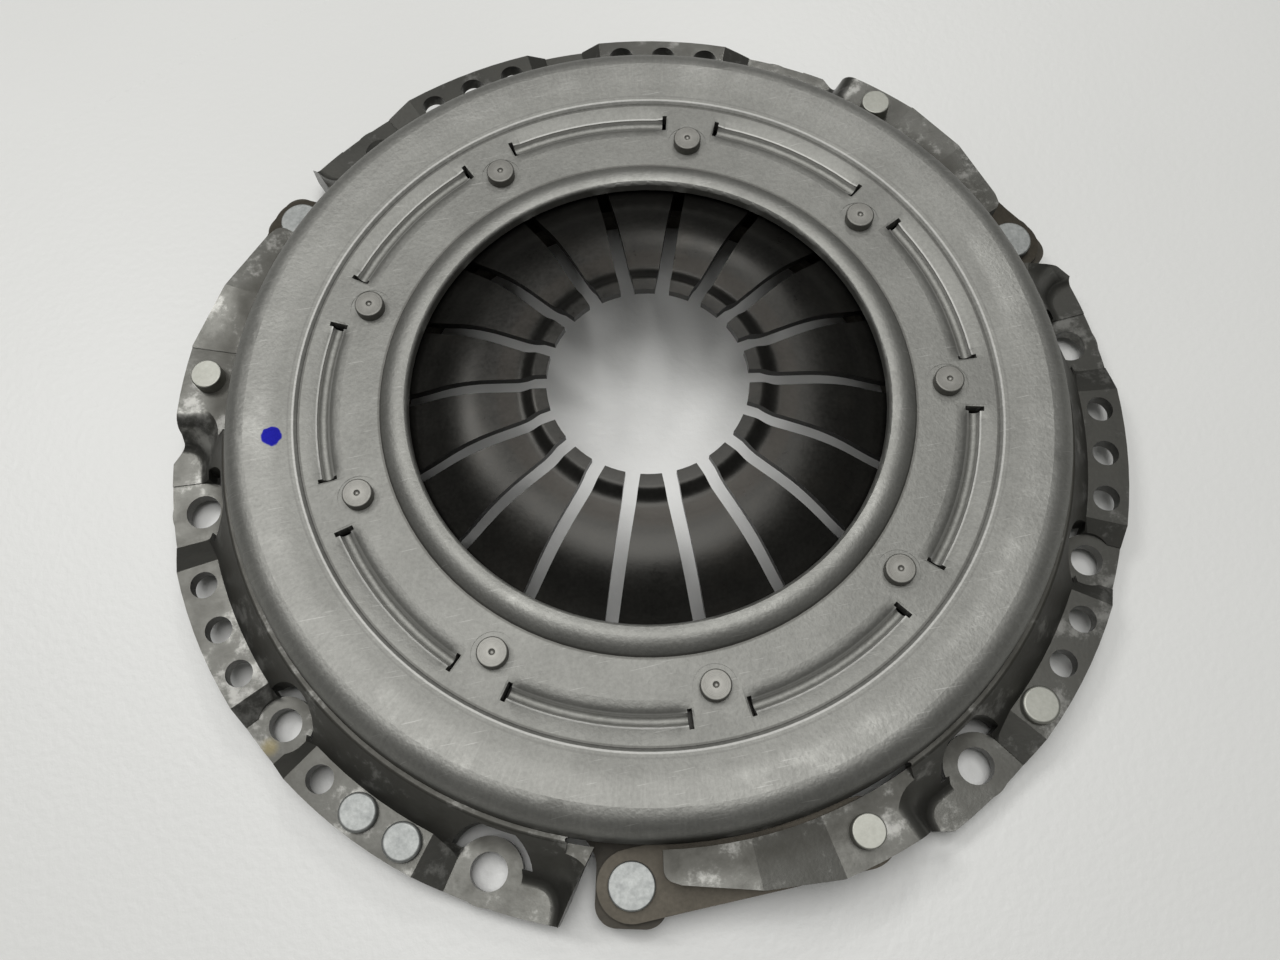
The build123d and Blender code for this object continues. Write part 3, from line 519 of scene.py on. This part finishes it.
# turned rings: the uneven rings that a tool leaves round a centre, where Density says how many
# there are to a metre
turning, ask, give = group("turned_rings", {"Distance": 0.0, "Density": 5200.0, "Detail": 2.0},
                           ("Rings",))
rings = add(turning, "ShaderNodeTexNoise", noise_dimensions="1D", Scale=1.0)
spacing = scaled(turning, ask.outputs["Distance"], ask.outputs["Density"])
feed(turning, rings.inputs["W"], spacing)
feed(turning, rings.inputs["Detail"], ask.outputs["Detail"])
feed(turning, give.inputs["Rings"], rings.outputs["Fac"])


def rings_round(tree, distance, **sizes):
    """The turned rings in a material, round the centre that the distance is measured from."""
    rings = add(tree, "ShaderNodeGroup", node_tree=turning, **sizes)
    feed(tree, rings.inputs["Distance"], distance)
    return rings.outputs["Rings"]


shoulder_rivets = [name for name in nodes if name.startswith("shoulder_rivet_")]
rivet_step = math.tau / len(shoulder_rivets)
first_rivet = middle_of("shoulder_rivet_1")
first_angle = math.atan2(first_rivet.y, first_rivet.x)
turned_dark = (0.105, 0.103, 0.092)
turned_light = (0.20, 0.196, 0.18)
ring_bright = (0.32, 0.315, 0.29)
# the painted highlight on the middle of each head, and how far out it reaches
highlight_bright = (0.42, 0.41, 0.38)
highlight_full_r = 0.0006
highlight_edge_r = 0.0034
rivet_steel, tree, shader = new_material("rivet_steel")
_, x, y, _ = place_of(tree)
_, tone = skin_of(tree, turned_dark, turned_light)

# each point's distance from the middle of the rivet nearest to it
radius = reach(tree, x, y)
turn = maths(tree, "SUBTRACT", maths(tree, "ARCTAN2", y, x), first_angle - rivet_step / 2)
turn = maths(tree, "SUBTRACT", maths(tree, "FLOORED_MODULO", turn, rivet_step), rivet_step / 2)
outwards = maths(tree, "SUBTRACT", scaled(tree, radius, maths(tree, "COSINE", turn)),
                 first_rivet.length)
sideways = scaled(tree, radius, maths(tree, "SINE", turn))
off_centre = reach(tree, outwards, sideways)

# turned rings on the head, and a painted highlight in its middle
rings = rings_round(tree, off_centre)
tone = lay(tree, tone, ramp(tree, rings, low=0.42, high=0.62), strength=0.3, colour=ring_bright)
centre_highlight = inverse(tree, ramp(tree, off_centre, highlight_full_r, highlight_edge_r))
tone = lay(tree, tone, centre_highlight, strength=0.18, colour=highlight_bright)
feed(tree, shader.inputs["Base Color"], tone)
feed(tree, shader.inputs["Metallic"], 0.85)
feed(tree, shader.inputs["Roughness"], 0.5)
for name in shoulder_rivets:
    finish_node(name, rivet_steel)

# ---------------------------------------------------------------- pressure plate
# A grey iron casting with three lugs, hung from the cover by the straps. It is left rough as
# cast and oiled. Only its friction face is ground, in fine rings.
cast_dark = (0.018, 0.0155, 0.010)
cast_light = (0.055, 0.046, 0.032)
ground_dark = (0.36, 0.355, 0.35)
ground_light = (0.56, 0.555, 0.545)
ground_depth = 0.0002
ground_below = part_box("pressure_plate")[0][2] + ground_depth
cast_iron, tree, shader = new_material("cast_iron")
_, x, y, level = place_of(tree)
skin, tone = skin_of(tree, cast_dark, cast_light, Grain=500.0, Blotch=120.0)
face = maths(tree, "LESS_THAN", level, ground_below)
rings = rings_round(tree, reach(tree, x, y), Density=2600.0, Detail=3.0)
tone = mixed(tree, face, tone, mixed(tree, rings, ground_dark, ground_light))
metal = maths(tree, "ADD", 0.35, scaled(tree, face, 0.5))
matt = maths(tree, "SUBTRACT", 0.58, scaled(tree, face, 0.26))
feed(tree, shader.inputs["Base Color"], tone)
feed(tree, shader.inputs["Metallic"], metal)
feed(tree, shader.inputs["Roughness"], matt)
relief(tree, shader, skin.outputs["Height"], strength=0.5, depth=0.0002)
finish_node("pressure_plate", cast_iron)

# ---------------------------------------------------------------- drive straps
# Three packs of three flat spring-steel leaves, oiled and brown, that turn the plate with the
# cover and bend as it lifts. Each pack is held by a strap rivet in the cover and a lug rivet
# in the plate, and stays flat beside both.
strap_dark = (0.023, 0.020, 0.014)
strap_light = (0.058, 0.050, 0.038)
flat_at_cover = 0.0075          # from the strap rivet's middle to the start of the bend
flat_at_lug = 0.0095            # from the end of the bend to the lug rivet's middle
bend_lengths = 12               # that each leaf is cut into between them


def even_finish(name, dark, light, metallic, roughness, **sizes):
    """A metal with the blasted skin's tone between two colours and an even gloss."""
    material, tree, shader = new_material(name)
    _, tone = skin_of(tree, dark, light, **sizes)
    feed(tree, shader.inputs["Base Color"], tone)
    feed(tree, shader.inputs["Metallic"], metallic)
    feed(tree, shader.inputs["Roughness"], roughness)
    return material


strap_steel = even_finish("strap_steel", strap_dark, strap_light, metallic=0.75,
                          roughness=0.4)
for pack in (1, 2, 3):
    held = middle_of(f"strap_rivet_{pack}")
    moved = middle_of(f"lug_rivet_{pack}")
    run = (moved - held).normalized()
    start = held + run * flat_at_cover
    end = moved - run * flat_at_lug
    for leaf in (1, 2, 3):
        name = f"strap_{pack}_leaf_{leaf}"
        finish_node(name, strap_steel)
        blade = flexing(name, start, end, bend_lengths)
        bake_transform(blade)
        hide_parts(name)

# ---------------------------------------------------------------- strap rivets
# Headed pins of bright drawn steel, one through each of the cover's shelves and the strap pack
# under it, closed below the pack.
drawn_dark = (0.25, 0.25, 0.222)
drawn_light = (0.37, 0.37, 0.332)
bright_steel = even_finish("bright_steel", drawn_dark, drawn_light, metallic=0.9,
                           roughness=0.5)
for pack in (1, 2, 3):
    finish_node(f"strap_rivet_{pack}", bright_steel)

# ---------------------------------------------------------------- lug rivets
# Steel rivets with wide flat heads and a frosted, spangled coat of zinc, one through each
# strap pack and the plate's lug under it.
zinc_dark = (0.165, 0.172, 0.168)
zinc_light = (0.37, 0.380, 0.366)
zinc_plate = even_finish("zinc_plate", zinc_dark, zinc_light, metallic=0.8, roughness=0.5,
                         Blotch=420.0)
for pack in (1, 2, 3):
    finish_node(f"lug_rivet_{pack}", zinc_plate)

# ---------------------------------------------------------------- balance rivets
# Flat-headed weights, closed in the flange's balance holes when the whole clutch has been
# spun. Two are zinc plated and the third is bright steel.
balance_finishes = (zinc_plate, zinc_plate, bright_steel)
for number, finish in enumerate(balance_finishes, start=1):
    finish_node(f"balance_rivet_{number}", finish)

# ---------------------------------------------------------------- whole clutch
# Each solid is shaded smooth, and its own normals keep its edges sharp.
for node in nodes.values():
    node.data.shade_smooth()
